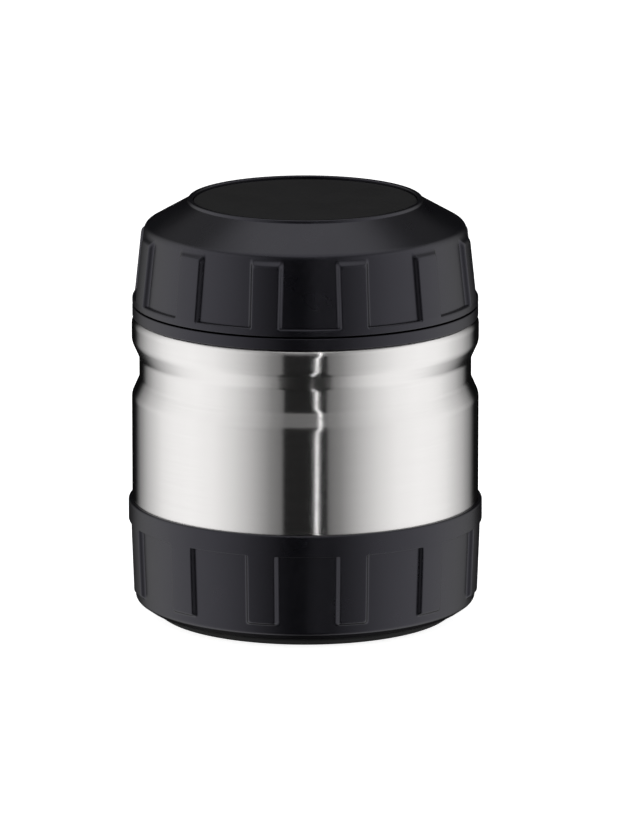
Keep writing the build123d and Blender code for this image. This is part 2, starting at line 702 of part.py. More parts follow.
export_step(outer_shell.part, "parts/outer_shell.step")
export_step(inner_vessel.part, "parts/inner_vessel.step")
export_step(shell_base_plate.part, "parts/shell_base_plate.step")
export_step(vacuum_plug.part, "parts/vacuum_plug.step")
export_step(getter_capsule.part, "parts/getter_capsule.step")
export_step(heat_foil.part, "parts/heat_foil.step")
export_step(neck_collar.part, "parts/neck_collar.step")
export_step(collar_seal.part, "parts/collar_seal.step")
export_step(base_cup.part, "parts/base_cup.step")
export_step(base_cushion.part, "parts/base_cushion.step")
export_step(foot_ring.part, "parts/foot_ring.step")
export_step(lid_shell.part, "parts/lid_shell.step")
export_step(lid_top_disc.part, "parts/lid_top_disc.step")
export_step(lid_liner.part, "parts/lid_liner.step")
export_step(lid_seal.part, "parts/lid_seal.step")
export_step(stopper_body.part, "parts/stopper_body.step")
export_step(stopper_foam.part, "parts/stopper_foam.step")
export_step(stopper_cover.part, "parts/stopper_cover.step")
export_step(stopper_gasket.part, "parts/stopper_gasket.step")
export_step(valve_button.part, "parts/valve_button.step")
export_step(valve_stem.part, "parts/valve_stem.step")
export_step(valve_seal.part, "parts/valve_seal.step")
export_step(valve_spring.part, "parts/valve_spring.step")
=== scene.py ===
import math

import bmesh
import bpy
import numpy as np
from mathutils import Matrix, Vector


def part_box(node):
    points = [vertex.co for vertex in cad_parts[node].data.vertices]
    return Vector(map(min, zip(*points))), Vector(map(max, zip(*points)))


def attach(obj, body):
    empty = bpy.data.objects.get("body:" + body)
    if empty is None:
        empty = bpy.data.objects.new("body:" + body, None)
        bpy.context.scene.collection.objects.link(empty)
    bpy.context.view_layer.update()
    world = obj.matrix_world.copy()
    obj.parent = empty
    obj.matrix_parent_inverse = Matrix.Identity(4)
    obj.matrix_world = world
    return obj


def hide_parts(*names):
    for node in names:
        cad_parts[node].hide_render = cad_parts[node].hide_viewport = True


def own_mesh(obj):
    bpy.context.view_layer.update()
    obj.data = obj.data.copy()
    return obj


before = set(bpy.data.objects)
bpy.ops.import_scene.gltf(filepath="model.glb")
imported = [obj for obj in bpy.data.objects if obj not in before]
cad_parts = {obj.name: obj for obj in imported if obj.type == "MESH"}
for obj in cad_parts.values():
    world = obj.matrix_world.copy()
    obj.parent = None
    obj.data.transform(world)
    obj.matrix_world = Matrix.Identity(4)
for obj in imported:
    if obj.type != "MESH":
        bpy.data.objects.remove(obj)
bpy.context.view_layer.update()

# All lengths below are in millimetres and become metres when a mesh is made.
MM = 0.001
ARC_STEP = math.radians(7.5)  # the most that one edge of a fillet turns
SUPPORT = 0.12  # a ring this far from each fillet keeps the flat run's shading clean
COLUMNS = 384  # edges round a turned piece
SHARP_ANGLE = math.radians(32.0)  # faces that meet at more than this show an edge
SLIP = 0.03  # faces that turn on each other stay this far apart

# Grip bars of the lid and the base cup: number, half width, crown's sag and flank as in the solids
BAR_COUNT = 12
BAR_HALF_W = 4.75
BAR_SAG = 0.2
BAR_FLANK = math.tan(math.radians(30.0))
BAR_REACH = 40.0  # the bars' columns keep their width down to this radius
EDGE_BLEND = 0.5  # softness of the crown's edges
ROOT_BLEND = 0.6  # softness of the flanks' roots
LEDGE_TILT = 0.04  # half the height that a ledge gains over its width

# Heights, radii and leads that several pieces share
SHOULDER_Z = 89.8
NECK_R = 42.4
MOUTH_R = 39.6
PLUG_R = 38.4
FLANGE_Z = 101.8
CUP_SEAT_Z = 29.9
LID_LEAD = 18.0
STOPPER_LEAD = 9.0
LID_THREAD_TURN = 88.0
STOPPER_THREAD_TURN = 150.0


# -------------------------------------------------------------------------- mesh helpers


def box_of(node):
    """Outer radius, lowest and highest height of a round CAD node."""
    low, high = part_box(node)
    return high.x / MM, low.z / MM, high.z / MM


def rounded(corners):
    """Outline through corners (r, z, fillet radius), each rounded by its own radius."""
    points = np.array([corner[:2] for corner in corners], float)
    count = len(corners)
    reaches = np.zeros(count)
    for i in range(1, count - 1):
        before = points[i - 1] - points[i]
        after = points[i + 1] - points[i]
        cosine = before @ after / np.linalg.norm(before) / np.linalg.norm(after)
        half = math.acos(max(-1.0, min(1.0, cosine))) / 2
        reaches[i] = corners[i][2] / math.tan(half)
    outline = [points[0]]
    for i in range(1, count - 1):
        radius = corners[i][2]
        if radius == 0:
            outline.append(points[i])
            continue
        before = points[i - 1] - points[i]
        after = points[i + 1] - points[i]
        before_run = np.linalg.norm(before) - reaches[i] - reaches[i - 1]
        after_run = np.linalg.norm(after) - reaches[i] - reaches[i + 1]
        before /= np.linalg.norm(before)
        after /= np.linalg.norm(after)
        start = points[i] + before * reaches[i]
        end = points[i] + after * reaches[i]
        middle = before + after
        half = math.atan2(radius, reaches[i])
        centre = points[i] + middle / np.linalg.norm(middle) * radius / math.sin(half)
        first = math.atan2(start[1] - centre[1], start[0] - centre[0])
        turn = math.atan2(end[1] - centre[1], end[0] - centre[0]) - first
        turn = (turn + math.pi) % (2 * math.pi) - math.pi
        steps = max(3, math.ceil(abs(turn) / ARC_STEP))
        if before_run > 2.5 * SUPPORT:
            outline.append(start + before * SUPPORT)
        for k in range(steps + 1):
            angle = first + turn * k / steps
            outline.append(centre + radius * np.array((math.cos(angle), math.sin(angle))))
        if after_run > 2.5 * SUPPORT:
            outline.append(end + after * SUPPORT)
    outline.append(points[-1])
    return np.array(outline)


def wrapped(name, radii, heights, angles, loop):
    """Grid mesh round Z. The arrays give each row and column its radius, height and angle."""
    rows, columns = radii.shape
    vertices = []
    index = np.zeros((rows, columns), int)
    for i in range(rows):
        if np.all(radii[i] < 1e-6):
            index[i] = len(vertices)
            vertices.append((0.0, 0.0, heights[i, 0] * MM))
            continue
        index[i] = len(vertices) + np.arange(columns)
        x = radii[i] * np.cos(angles[i]) * MM
        y = radii[i] * np.sin(angles[i]) * MM
        vertices.extend(zip(x, y, heights[i] * MM))
    faces = []
    for i in range(rows if loop else rows - 1):
        lower = index[i].tolist()
        upper = index[(i + 1) % rows].tolist()
        if lower[0] == lower[1] and upper[0] == upper[1]:
            continue
        for j in range(columns):
            k = (j + 1) % columns
            if lower[0] == lower[1]:
                faces.append((lower[j], upper[k], upper[j]))
            elif upper[0] == upper[1]:
                faces.append((lower[j], lower[k], upper[j]))
            else:
                faces.append((lower[j], lower[k], upper[k], upper[j]))
    return mesh_object(name, vertices, faces)


def mesh_object(name, vertices, faces):
    mesh = bpy.data.meshes.new(name)
    mesh.from_pydata([tuple(map(float, v)) for v in vertices], [], faces)
    mesh.shade_smooth()
    mesh.set_sharp_from_angle(angle=SHARP_ANGLE)
    mesh.update()
    piece = bpy.data.objects.new(name, mesh)
    bpy.context.scene.collection.objects.link(piece)
    return piece


def facing_out(piece):
    """piece, with its faces' normals turned outward."""
    facing = bmesh.new()
    facing.from_mesh(piece.data)
    bmesh.ops.recalc_face_normals(facing, faces=facing.faces)
    facing.to_mesh(piece.data)
    facing.free()
    return piece


def turned(name, corners, closed=True, columns=COLUMNS):
    """Round piece whose outline runs anticlockwise through the corners, with r to the right."""
    if closed:
        # The outline is cut open in the middle of its longest run, where no fillet reaches.
        ends = [corner[:2] for corner in corners]
        runs = [math.dist(ends[i], ends[i - 1]) for i in range(len(ends))]
        cut = runs.index(max(runs))
        (r, z), (r_before, z_before) = ends[cut], ends[cut - 1]
        middle = ((r + r_before) / 2, (z + z_before) / 2, 0)
        corners = [middle] + corners[cut:] + corners[:cut] + [middle]
        outline = rounded(corners)[:-1]
    else:
        outline = rounded(corners)
    angles = np.linspace(0, 2 * math.pi, columns, endpoint=False)
    radii = np.repeat(outline[:, :1], columns, axis=1)
    heights = np.repeat(outline[:, 1:], columns, axis=1)
    return wrapped(name, radii, heights, np.repeat(angles[None], len(outline), axis=0), closed)


def soft_min(a, b, k):
    """The lower of a and b, with a round change over k where they cross."""
    return np.minimum(a, b) - np.maximum(k - np.abs(a - b), 0) ** 2 / (4 * k)


def soft_max(a, b, k):
    """The higher of a and b, with a round change over k where they cross."""
    return -soft_min(-a, -b, k)


def grip_offsets(reference):
    """Angles of a bar's columns from its middle, for each row's reference radius.

    The columns are close together over the flanks, 3.3 to 5.3 mm from the middle.
    """
    offsets = np.concatenate(([0.0, 1.3, 2.3, 2.9], np.arange(3.3, 5.35, 0.11)))
    near = np.arcsin(offsets[None] / reference[:, None])
    last = near[:, -1:]
    far = last + (math.pi / BAR_COUNT - last) * np.array([[0.2, 0.45, 0.72, 1.0]])
    half = np.concatenate((near, far), axis=1)
    return np.concatenate((-half[:, -2:0:-1], half), axis=1)


def grip_shell(name, outline, phase, panel_r, to_end, proud, corner_blend, crown_limit, wall):
    """Turned shell with twelve grip bars on the rows whose heights lie in wall.

    phase is the first bar's angle in degrees, panel_r(z) the panel's radius, to_end(z) how far a
    bar may stand out at a height, proud how far it stands out at most, corner_blend the rounding
    of its end corners, and crown_limit the radius that it never passes.
    """
    base = outline[:, 0]
    z = outline[:, 1]
    reference = np.clip(panel_r(z), BAR_REACH, None)
    reference = np.where(base < BAR_REACH, BAR_REACH, reference)
    offset = grip_offsets(reference)
    outer = (z > wall[0]) & (z < wall[1]) & (base > panel_r(z) - 1.0)
    panel = panel_r(z)[:, None]
    flank = (BAR_HALF_W + BAR_FLANK * (panel - BAR_SAG)) / (
        BAR_FLANK * np.cos(offset) + np.sin(np.abs(offset))
    ) - panel
    end = np.repeat(to_end(z)[:, None], offset.shape[1], axis=1)
    rise = soft_min(soft_min(flank, end, corner_blend), proud, EDGE_BLEND)
    blended = soft_max(panel + rise, base[:, None], ROOT_BLEND)
    radii = np.where(outer[:, None], np.minimum(blended, crown_limit), base[:, None])
    radii = np.maximum(radii, base[:, None])
    turns = math.radians(phase) + np.arange(BAR_COUNT) * 2 * math.pi / BAR_COUNT
    angles = np.concatenate([offset + turn for turn in turns], axis=1)
    radii = np.tile(radii, (1, BAR_COUNT))
    heights = np.repeat(z[:, None], radii.shape[1], axis=1)
    return wrapped(name, radii, heights, angles, False)


def ridges(name, root_r, crest_r, lead, low_z, turn_deg, widths):
    """Right-hand thread ridges, one for each start, with ends that taper into the wall.

    widths are a ridge's widths at its root and its crest.
    """
    starts, step_deg, taper_deg, sunk = 3, 3, 14.0, 0.25
    base_w, crest_w = widths
    overlap = sunk if crest_r > root_r else -sunk
    vertices = []
    faces = []
    steps = round(turn_deg / step_deg)
    for start in range(starts):
        first = len(vertices)
        for step in range(steps + 1):
            share = step / steps
            angle = math.radians(start * 360 / starts + share * turn_deg)
            middle = low_z + lead * share * turn_deg / 360
            taper = min(1.0, min(share, 1 - share) * turn_deg / taper_deg)
            taper = taper * taper * (3 - 2 * taper)
            crest = root_r - overlap + (crest_r - root_r + overlap) * taper
            for r, half in (
                (root_r - overlap, -base_w / 2),
                (crest, -crest_w / 2 * taper - base_w / 2 * (1 - taper)),
                (crest, crest_w / 2 * taper + base_w / 2 * (1 - taper)),
                (root_r - overlap, base_w / 2),
            ):
                x, y = r * math.cos(angle) * MM, r * math.sin(angle) * MM
                vertices.append((x, y, (middle + half) * MM))
        for here in range(first, first + 4 * steps, 4):
            for side in range(4):
                other = (side + 1) % 4
                faces.append((here + side, here + other, here + 4 + other, here + 4 + side))
        last = first + 4 * steps
        faces.append((first, first + 1, first + 2, first + 3))
        faces.append((last + 3, last + 2, last + 1, last))
    return facing_out(mesh_object(name, vertices, faces))


def coil(name, radius, wire_r, low_z, high_z, turns):
    """Helical wire about Z."""
    per_turn, sides = 40, 10
    vertices = []
    faces = []
    count = per_turn * turns + 1
    slope = math.atan2((high_z - low_z) / turns, 2 * math.pi * radius)
    for i in range(count):
        angle = 2 * math.pi * i / per_turn
        outward = Vector((math.cos(angle), math.sin(angle), 0))
        level = math.cos(slope)
        along = Vector((-math.sin(angle) * level, math.cos(angle) * level, math.sin(slope)))
        across = along.cross(outward)
        centre = outward * radius + Vector((0, 0, low_z + (high_z - low_z) * i / (count - 1)))
        for k in range(sides):
            around = 2 * math.pi * k / sides
            off = outward * math.cos(around) + across * math.sin(around)
            vertices.append((centre + off * wire_r) * MM)
    for i in range(count - 1):
        here, there = i * sides, (i + 1) * sides
        for k in range(sides):
            other = (k + 1) % sides
            faces.append((here + k, here + other, there + other, there + k))
    faces.append(tuple(range(sides - 1, -1, -1)))
    faces.append(tuple(range((count - 1) * sides, count * sides)))
    return facing_out(mesh_object(name, vertices, faces))


# ---------------------------------------------------------------------- material helpers


class Shader:
    """Node tree of one material, with short calls for the nodes that the finishes share."""

    def __init__(self, name):
        self.material = bpy.data.materials.new(name)
        self.material.use_nodes = True
        self.tree = self.material.node_tree
        self.surface = self.tree.nodes["Principled BSDF"]
        self.place = self.tree.nodes.new("ShaderNodeTexCoord").outputs["Object"]

    def link(self, source, target):
        self.tree.links.new(source, target)

    def noise(self, scale, detail=2.0, stretch=(1.0, 1.0, 1.0), rough=0.5):
        """Noise, mostly from 0.3 to 0.7, with scale times stretch lumps a metre on each axis."""
        mapping = self.tree.nodes.new("ShaderNodeMapping")
        mapping.inputs["Scale"].default_value = stretch
        self.link(self.place, mapping.inputs["Vector"])
        noise = self.tree.nodes.new("ShaderNodeTexNoise")
        noise.inputs["Scale"].default_value = scale
        noise.inputs["Detail"].default_value = detail
        noise.inputs["Roughness"].default_value = rough
        self.link(mapping.outputs["Vector"], noise.inputs["Vector"])
        return noise.outputs["Fac"]

    def spread(self, value, low, high, start=0.3, end=0.7):
        """value from start to end becomes low to high."""
        node = self.tree.nodes.new("ShaderNodeMapRange")
        node.inputs["From Min"].default_value = start
        node.inputs["From Max"].default_value = end
        node.inputs["To Min"].default_value = low
        node.inputs["To Max"].default_value = high
        self.link(value, node.inputs["Value"])
        return node.outputs["Result"]

    def mixed(self, value, low, high):
        """Colour between low and high by value."""
        node = self.tree.nodes.new("ShaderNodeMix")
        node.data_type = "RGBA"
        node.inputs["A"].default_value = (*low, 1)
        node.inputs["B"].default_value = (*high, 1)
        self.link(value, node.inputs["Factor"])
        return node.outputs["Result"]

    def bump(self, value, depth_mm, strength=1.0, before=None):
        """Normal of a relief of depth_mm, laid over the relief before it."""
        node = self.tree.nodes.new("ShaderNodeBump")
        node.inputs["Strength"].default_value = strength
        node.inputs["Distance"].default_value = depth_mm * MM
        self.link(value, node.inputs["Height"])
        if before is not None:
            self.link(before, node.inputs["Normal"])
        return node.outputs["Normal"]

    def set(self, **values):
        """Fixed values of the surface's sockets, each by its name with _ for a space."""
        for name, value in values.items():
            self.surface.inputs[name.replace("_", " ")].default_value = value

    def finish(self, colour, roughness, normal=None):
        """The material, with these outputs on its surface."""
        self.link(colour, self.surface.inputs["Base Color"])
        self.link(roughness, self.surface.inputs["Roughness"])
        if normal is not None:
            self.link(normal, self.surface.inputs["Normal"])
        return self.material


def brushed_steel():
    """Steel brushed round the axis, which draws highlights out up and down."""
    s = Shader("brushed_steel")
    s.set(Metallic=1.0, Anisotropic=1.0, Anisotropic_Rotation=0.25)
    tangent = s.tree.nodes.new("ShaderNodeTangent")
    tangent.direction_type = "RADIAL"
    tangent.axis = "Z"
    s.link(tangent.outputs["Tangent"], s.surface.inputs["Tangent"])
    lines = s.noise(1.0, 3.0, (45, 45, 5200), rough=0.6)
    broad = s.noise(1.0, 2.0, (14, 14, 900))
    scratches = s.noise(1.0, 2.0, (300, 300, 4200))
    dark, light = (0.648, 0.636, 0.629), (0.668, 0.657, 0.650)
    return s.finish(
        s.mixed(s.spread(lines, 0.0, 1.0), dark, light),
        s.spread(broad, 0.155, 0.185),
        s.bump(scratches, 0.008, 1.0, s.bump(lines, 0.004, 0.5)),
    )


def vessel_steel():
    """Deep-drawn steel with the fine rings of its polishing."""
    s = Shader("vessel_steel")
    s.set(Metallic=1.0)
    rings = s.noise(1.0, 2.0, (30, 30, 1800))
    return s.finish(
        s.mixed(rings, (0.58, 0.58, 0.575), (0.66, 0.66, 0.65)),
        s.spread(rings, 0.24, 0.34),
        s.bump(rings, 0.003, 0.5),
    )


def plastic(name, dark, light, roughness, grain, grain_mm, ior=1.5, tint=(1.0, 1.0, 1.0)):
    """Moulded plastic or rubber with a fine even grain of grain lumps a metre, grain_mm deep."""
    s = Shader(name)
    s.set(IOR=ior, Specular_Tint=(*tint, 1.0))
    fine = s.noise(grain, 2.0)
    broad = s.noise(90.0, 2.0)
    return s.finish(
        s.mixed(s.spread(fine, 0.0, 1.0), dark, light),
        s.spread(broad, *roughness),
        s.bump(fine, grain_mm, 0.6),
    )


def braze_metal():
    s = Shader("braze_metal")
    s.set(Metallic=1.0)
    flow = s.noise(400.0, 3.0)
    return s.finish(
        s.mixed(flow, (0.55, 0.46, 0.28), (0.72, 0.62, 0.40)),
        s.spread(flow, 0.25, 0.45),
    )


def foil():
    s = Shader("foil")
    s.set(Metallic=1.0)
    creases = s.noise(160.0, 4.0)
    return s.finish(
        s.mixed(creases, (0.74, 0.74, 0.75), (0.84, 0.84, 0.85)),
        s.spread(creases, 0.10, 0.24),
        s.bump(creases, 0.05, 0.8),
    )


def spring_steel():
    s = Shader("spring_steel")
    s.set(Metallic=1.0)
    drawn = s.noise(700.0, 2.0)
    return s.finish(
        s.mixed(drawn, (0.58, 0.58, 0.60), (0.70, 0.70, 0.71)),
        s.spread(drawn, 0.18, 0.30),
    )


def foam():
    s = Shader("foam")
    cells = s.tree.nodes.new("ShaderNodeTexVoronoi")
    cells.inputs["Scale"].default_value = 900.0
    s.link(s.place, cells.inputs["Vector"])
    distance = cells.outputs["Distance"]
    share = s.spread(distance, 0.0, 1.0, 0.0, 0.6)
    return s.finish(
        s.mixed(share, (0.66, 0.65, 0.60), (0.80, 0.79, 0.74)),
        s.spread(distance, 0.8, 0.95, 0.0, 0.6),
        s.bump(distance, 0.15, 0.7),
    )


# Plastics and rubbers: dark and light colour, roughness range, grain's lumps a metre, its depth in
# mm, and where they differ from the usual the IOR and the tint of reflections
PLASTICS = {
    "black_plastic": (
        (0.0010, 0.0010, 0.0020),
        (0.0015, 0.0015, 0.0028),
        (0.27, 0.31),
        3000.0,
        0.006,
        1.495,
        (0.87, 0.85, 1.0),
    ),
    "disc_plastic": (
        (0.0012, 0.0012, 0.0015),
        (0.0030, 0.0030, 0.0034),
        (0.52, 0.60),
        2600.0,
        0.030,
        1.385,
    ),
    "liner_plastic": (
        (0.020, 0.020, 0.023),
        (0.026, 0.026, 0.029),
        (0.24, 0.30),
        1500.0,
        0.004,
    ),
    "stopper_plastic": (
        (0.030, 0.031, 0.034),
        (0.040, 0.041, 0.045),
        (0.40, 0.48),
        2600.0,
        0.010,
    ),
    "button_plastic": ((0.30, 0.31, 0.32), (0.36, 0.37, 0.38), (0.34, 0.40), 2600.0, 0.006),
    "silicone": ((0.52, 0.52, 0.50), (0.60, 0.60, 0.58), (0.50, 0.60), 1200.0, 0.008),
    "foot_rubber": (
        (0.0010, 0.0010, 0.0013),
        (0.0020, 0.0020, 0.0024),
        (0.72, 0.82),
        2200.0,
        0.015,
        1.35,
    ),
}
MATERIALS = {
    "brushed_steel": brushed_steel(),
    "vessel_steel": vessel_steel(),
    "braze_metal": braze_metal(),
    "foil": foil(),
    "foam": foam(),
    "spring_steel": spring_steel(),
    **{slot: plastic(slot, *look) for slot, look in PLASTICS.items()},
}


def dress(piece, body, node, slot):
    """piece stands for the CAD node, moves with its body and wears its slot's finish."""
    piece.data.materials.append(MATERIALS[slot])
    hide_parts(node)
    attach(piece, body)


def trim(piece, body, slot):
    """piece has no CAD node of its own, such as a thread."""
    piece.data.materials.append(MATERIALS[slot])
    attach(piece, body)


# ----------------------------------------------------------------------------------- jar


def make_outer_shell():
    radius, bottom, _ = box_of("outer_shell")
    wall, foot_r, waist_r, lap_z = 0.6, 47.2, 48.7, 100.5
    outer = [
        (foot_r, bottom, 0),
        (foot_r, CUP_SEAT_Z, 1.5),
        (radius, 33.2, 1.2),
        (radius, 65.8, 4.0),
        (waist_r, 70.7, 3.0),
        (waist_r, 77.1, 3.0),
        (radius, 82.0, 4.5),
        (radius, SHOULDER_Z, 3.0),
        (NECK_R, SHOULDER_Z, 1.5),
        (NECK_R, lap_z, 0),
    ]
    inner = [
        (NECK_R - wall, lap_z, 0),
        (NECK_R - wall, SHOULDER_Z - wall, 2.1),
        (radius - wall, SHOULDER_Z - wall, 2.4),
        (radius - wall, 82.25, 5.1),
        (waist_r - wall, 77.35, 2.4),
        (waist_r - wall, 70.45, 2.4),
        (radius - wall, 65.55, 4.6),
        (radius - wall, 33.5, 0.6),
        (foot_r - wall, 30.2, 2.1),
        (foot_r - wall, bottom, 0),
    ]
    # Steel mirrors its own facets, so it has more columns than the plastics.
    piece = turned("steel_body", outer + inner, columns=512)
    dress(piece, "jar", "outer_shell", "brushed_steel")


def make_inner_vessel():
    _, _, rim = box_of("inner_vessel")
    wall, wide_r, floor = 0.5, 44, 14
    corners = [
        (0, floor - wall, 0),
        (wide_r + wall, floor - wall, 7.5),
        (wide_r + wall, 84.4, 3.5),
        (MOUTH_R + wall, 88.8, 2.5),
        (MOUTH_R + wall, rim - wall, 0.1),
        (NECK_R, rim - wall, 0),
        (NECK_R, rim, 0.2),
        (MOUTH_R, rim, 0.6),
        (MOUTH_R, 88.6, 3.0),
        (wide_r, 84.2, 3.0),
        (wide_r, floor, 7.0),
        (0, floor, 0),
    ]
    piece = turned("food_vessel", corners, closed=False)
    dress(piece, "jar", "inner_vessel", "vessel_steel")


def make_collar():
    radius, lip, top = box_of("neck_collar")
    bore, wall_r, crest_r, flange = 42.55, 43.9, 45.0, 92.6
    groove_top = SHOULDER_Z + 1.2
    corners = [
        (bore, top, 0.5),
        (bore, SHOULDER_Z + 1.65, 0.3),
        (44.2, SHOULDER_Z, 0),
        (45.0, SHOULDER_Z, 0),
        (45.0, groove_top, 0),
        (47.0, groove_top, 0),
        (47.0, SHOULDER_Z, 0),
        (48.9, SHOULDER_Z, 0),
        (49.9, lip, 0),
        (radius, lip, 0.3),
        (radius, flange, 0.4),
        (wall_r, flange, 0.6),
        (wall_r, top, 0.5),
    ]
    dress(turned("collar", corners), "jar", "neck_collar", "black_plastic")
    ridge = (2.2, 1.2)
    thread = ridges("collar_thread", wall_r, crest_r, LID_LEAD, 94.3, LID_THREAD_TURN, ridge)
    trim(thread, "jar", "black_plastic")
    ridge = (1.3, 0.6)
    crest_r = MOUTH_R - 0.75
    mouth = ridges(
        "mouth_thread", MOUTH_R, crest_r, STOPPER_LEAD, 93.8, STOPPER_THREAD_TURN, ridge
    )
    trim(mouth, "jar", "vessel_steel")


def make_base_cup():
    radius, under, top = box_of("base_cup")
    ledge, panel_top, panel_low, corner = 28.2, 50.85, 49.95, 4.8
    slope = (panel_top - panel_low) / (ledge - corner)
    floor_low, floor_top, bore, foot_bore = 3.4, 5.6, 51.0, 47.35
    groove_low, groove_high, groove_top = 37.0, 41.0, under + 1

    def panel_r(z):
        return panel_low + (z - corner) * slope

    bar_end, end_slope = 7.43, 1.7
    rows = np.concatenate((np.arange(7.0, 9.5, 0.11), np.linspace(10.0, 27.4, 8)))
    corners = [
        (0, floor_low, 0),
        (30.6, floor_low, 0.4),
        (31.6, under, 0.4),
        (groove_low, under, 0),
        (groove_low, groove_top, 0),
        (groove_high, groove_top, 0),
        (groove_high, under, 0),
        (47.1, under, 0.4),
        (panel_low, corner, 1.5),
        *[(panel_r(z), z, 0) for z in rows],
        (panel_top, ledge - LEDGE_TILT, 0.3),
        (radius, ledge + LEDGE_TILT, 0.3),
        (radius, top, 0.7),
        (bore, top, 0),
        (bore, 33.3, 0.5),
        (foot_bore, CUP_SEAT_Z, 0.5),
        (foot_bore, floor_top, 1.0),
        (0, floor_top, 0),
    ]
    piece = grip_shell(
        "base_cup_skin",
        rounded(corners),
        phase=15.65,
        panel_r=panel_r,
        to_end=lambda z: end_slope * (z - bar_end),
        proud=1.22,
        corner_blend=1.6,
        crown_limit=radius,
        wall=(bar_end - 0.3, ledge + 1.0),
    )
    dress(piece, "jar", "base_cup", "black_plastic")


def make_foot():
    radius, _, top = box_of("foot_ring")
    bore, tread, rib_low, rib_high = 33.6, 2.8, 37.1, 40.9
    corners = [
        (bore, 0, 0.8),
        (42.8, 0, 1.5),
        (radius, 1.9, 1.0),
        (radius, tread, 0),
        (rib_high, tread, 0),
        (rib_high, top, 0),
        (rib_low, top, 0),
        (rib_low, tread, 0),
        (bore, tread, 0),
    ]
    dress(turned("foot", corners), "jar", "foot_ring", "foot_rubber")


def make_cushion():
    radius, bottom, top = box_of("base_cushion")
    bore, chamfer = 40.0, 1.0
    corners = [
        (bore, bottom, 0.2),
        (radius - chamfer, bottom, 0.2),
        (radius, bottom + chamfer, 0.2),
        (radius, top, 0.2),
        (bore, top, 0.2),
    ]
    piece = turned("cushion", corners)
    dress(piece, "jar", "base_cushion", "foam")


# ----------------------------------------------------------------------------------- lid


def make_lid():
    radius, bottom, top = box_of("lid_shell")
    ledge, panel_low, edge_r, edge_z = 95.3, 49.35, 47.1, 115.9
    rim_r, rim_w, rim_h = 34.2, 1.3, 0.9
    slope = (panel_low - edge_r) / (edge_z - ledge)
    cone = (top - rim_h - edge_z) / (edge_r - rim_r - 0.3)
    roof = top - 1.9
    ceiling = roof - 1.8
    seat_r, bore, bore_top = 45.4, 45.9, 102.2

    def panel_r(z):
        return panel_low - (z - ledge) * slope

    bar_end = 114.5
    rows = np.concatenate((np.linspace(96.2, 110.8, 8), np.arange(111.2, 114.25, 0.12)))
    corners = [
        (0, ceiling, 0),
        (seat_r - (ceiling - bar_end) / cone, ceiling, 2.0),
        (seat_r, bar_end, 2.0),
        (seat_r, bore_top, 0),
        (bore, bore_top, 0),
        (bore, bottom, 0.6),
        (radius, bottom, 0.4),
        (radius, ledge - LEDGE_TILT, 0.8),
        (panel_low, ledge + LEDGE_TILT, 0),
        *[(panel_r(z), z, 0) for z in rows],
        (edge_r, edge_z, 2.5),
        (rim_r + 0.3, top - rim_h, 0.3),
        (rim_r, top, 0.4),
        (rim_r - rim_w, top, 0.4),
        (rim_r - rim_w, roof, 0),
        (0, roof, 0),
    ]
    piece = grip_shell(
        "lid_skin",
        rounded(corners),
        phase=16.5,
        panel_r=panel_r,
        to_end=lambda z: bar_end - z,
        proud=1.35,
        corner_blend=1.2,
        crown_limit=radius,
        wall=(ledge - 1.0, bar_end + 0.2),
    )
    dress(piece, "lid", "lid_shell", "black_plastic")
    ridge = (2.0, 1.1)
    thread = ridges("lid_thread", bore, 44.3, LID_LEAD, 97.3, LID_THREAD_TURN, ridge)
    trim(thread, "lid", "black_plastic")


def make_disc():
    radius, bottom, top = box_of("lid_top_disc")
    corners = [(0, bottom, 0), (radius, bottom, 0), (radius, top, 0.3), (0, top, 0)]
    dress(turned("disc", corners, closed=False), "lid", "lid_top_disc", "disc_plastic")


def make_liner():
    radius, bottom, top = box_of("lid_liner")
    wall, wall_r, lip = 1, 43.4, 1
    corners = [
        (0, top - wall, 0),
        (34.1, top - wall, 2.0),
        (wall_r, 113.3, 2.0),
        (wall_r, bottom, 0.3),
        (radius, bottom, 0.2),
        (radius, bottom + lip, 0),
        (wall_r + wall, bottom + lip, 0),
        (wall_r + wall, 113.9, 3.0),
        (34.35, top, 3.0),
        (0, top, 0),
    ]
    dress(turned("liner", corners, closed=False), "lid_core", "lid_liner", "liner_plastic")


def make_lid_seal():
    radius, bottom, top = box_of("lid_seal")
    corners = [(42.7, bottom, 0.3), (radius, bottom, 0.3), (radius, top, 0), (43.5, top, 0.3)]
    dress(turned("lid_seal_ring", corners), "lid_core", "lid_seal", "silicone")


# ------------------------------------------------------------------------------- stopper


def make_plug():
    radius, bottom, top = box_of("stopper_body")
    bore, tube_bore, tube_r, tube_top = 36.4, 2.3, 4.2, 97.0
    floor = bottom + 1.6
    corners = [
        (tube_bore, bottom, 0),
        (37.2, bottom, 0.6),
        (PLUG_R, bottom + 1.2, 0.6),
        (PLUG_R, FLANGE_Z, 0.4),
        (radius, FLANGE_Z, 0.3),
        (radius, top, 0.8),
        (bore, top, 0.2),
        (bore, floor, 0.8),
        (tube_r, floor, 0.4),
        (tube_r, tube_top, 0.3),
        (tube_bore, tube_top, 0.3),
    ]
    dress(turned("plug", corners), "stopper", "stopper_body", "stopper_plastic")
    ridge = (1.3, 0.6)
    crest_r = PLUG_R + 0.75
    thread = ridges("plug_thread", PLUG_R, crest_r, STOPPER_LEAD, 95.3, STOPPER_THREAD_TURN, ridge)
    trim(thread, "stopper", "stopper_plastic")


def make_plug_foam():
    radius, bottom, top = box_of("stopper_foam")
    bottom += SLIP
    tube_bore, cap_bore, cap_z, chamfer = 4.6, 11.4, 98.4, 0.7
    corners = [
        (tube_bore, bottom, 0),
        (radius - chamfer, bottom, 0.2),
        (radius, bottom + chamfer, 0.2),
        (radius, top, 0.3),
        (cap_bore, top, 0.3),
        (cap_bore, cap_z, 0),
        (tube_bore, cap_z, 0.2),
    ]
    piece = turned("plug_foam", corners)
    dress(piece, "stopper_core", "stopper_foam", "foam")


